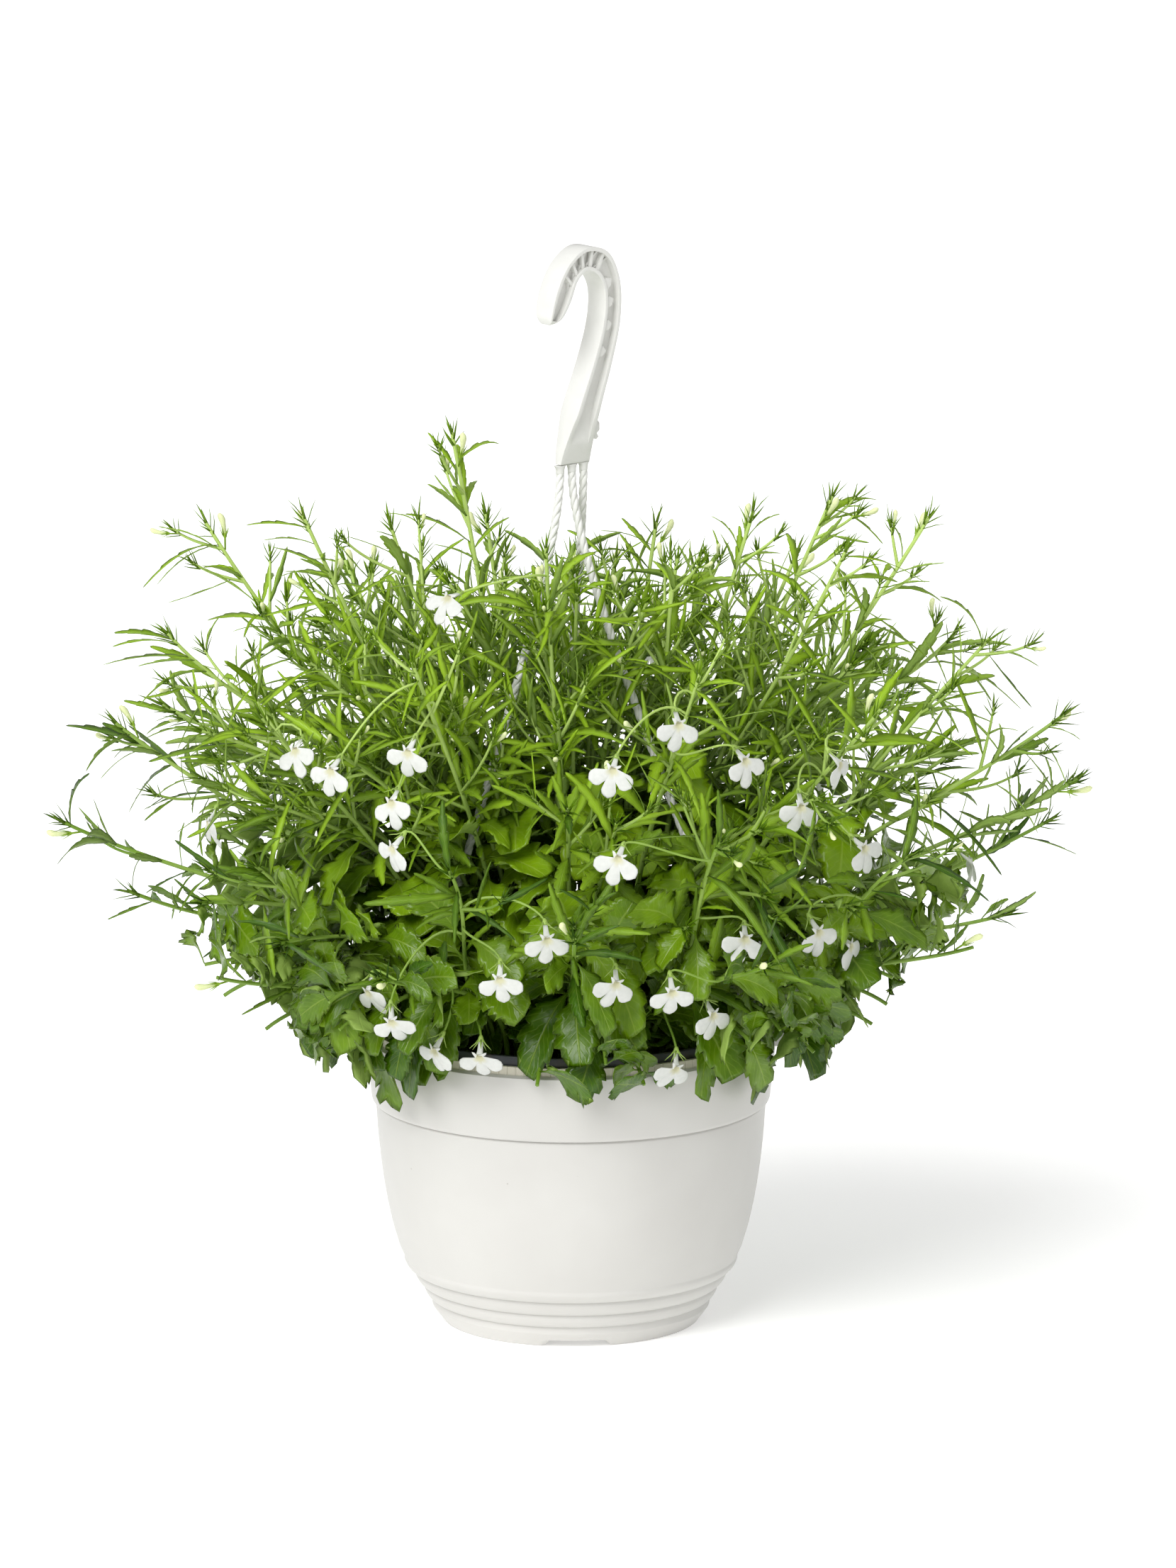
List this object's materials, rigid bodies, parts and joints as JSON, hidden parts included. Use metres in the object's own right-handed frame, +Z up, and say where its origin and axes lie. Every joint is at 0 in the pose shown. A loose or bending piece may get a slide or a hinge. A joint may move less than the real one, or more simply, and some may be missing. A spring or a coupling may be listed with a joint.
{
  "type": "potted hanging plant",
  "caption": "Trailing lobelia with white lipped flowers and a mound of toothed leaves, growing in a white hanging pot with an inner pot, compost and a hook on cord-like legs.",
  "frame": {"origin": "the inside top of the hook, where the hook bears on the rail or bracket it hangs from", "axes": "+Z up, -Y towards the front of the pot, +X to the right seen from the front"},
  "size_m": [0.5215, 0.3945, 0.5345],
  "materials": {
    "pot_plastic": "moulded satin white",
    "liner_plastic": "dark matt",
    "hanger_plastic": "moulded satin white",
    "compost": "dark crumbly compost",
    "foliage": "living leaf, slightly glossy",
    "petal": "soft matt petal"
  },
  "bodies": {
    "root": {"pot": "pot_plastic", "liner": "liner_plastic", "soil": "compost", "hook": "hanger_plastic", "strand_left": "hanger_plastic", "strand_right": "hanger_plastic", "strand_back": "hanger_plastic", "stem_01": "foliage", "stem_02": "foliage", "stem_03": "foliage", "stem_04": "foliage", "stem_05": "foliage", "stem_06": "foliage", "stem_07": "foliage", "stem_08": "foliage", "stem_09": "foliage", "stem_10": "foliage", "stem_11": "foliage", "stem_12": "foliage", "stem_13": "foliage", "stem_14": "foliage", "stem_15": "foliage", "stem_16": "foliage", "stem_17": "foliage", "stem_18": "foliage", "stem_19": "foliage", "stem_20": "foliage", "stem_21": "foliage", "stem_22": "foliage", "stem_23": "foliage", "stem_24": "foliage", "stem_25": "foliage", "stem_26": "foliage", "stem_27": "foliage", "stem_28": "foliage", "bloom_01": "petal", "bloom_02": "petal", "bloom_03": "petal", "bloom_04": "petal", "bloom_05": "petal", "bloom_06": "petal", "bloom_07": "petal", "bloom_08": "petal", "bloom_09": "petal", "bloom_10": "petal", "bloom_11": "petal", "bloom_12": "petal", "bloom_13": "petal", "bloom_14": "petal", "bloom_15": "petal", "bloom_16": "petal", "bloom_17": "petal", "bloom_18": "petal", "bloom_19": "petal", "bloom_20": "petal", "bloom_21": "petal", "bloom_22": "petal", "bloom_23": "petal", "bloom_24": "petal"}
  },
  "joints": []
}
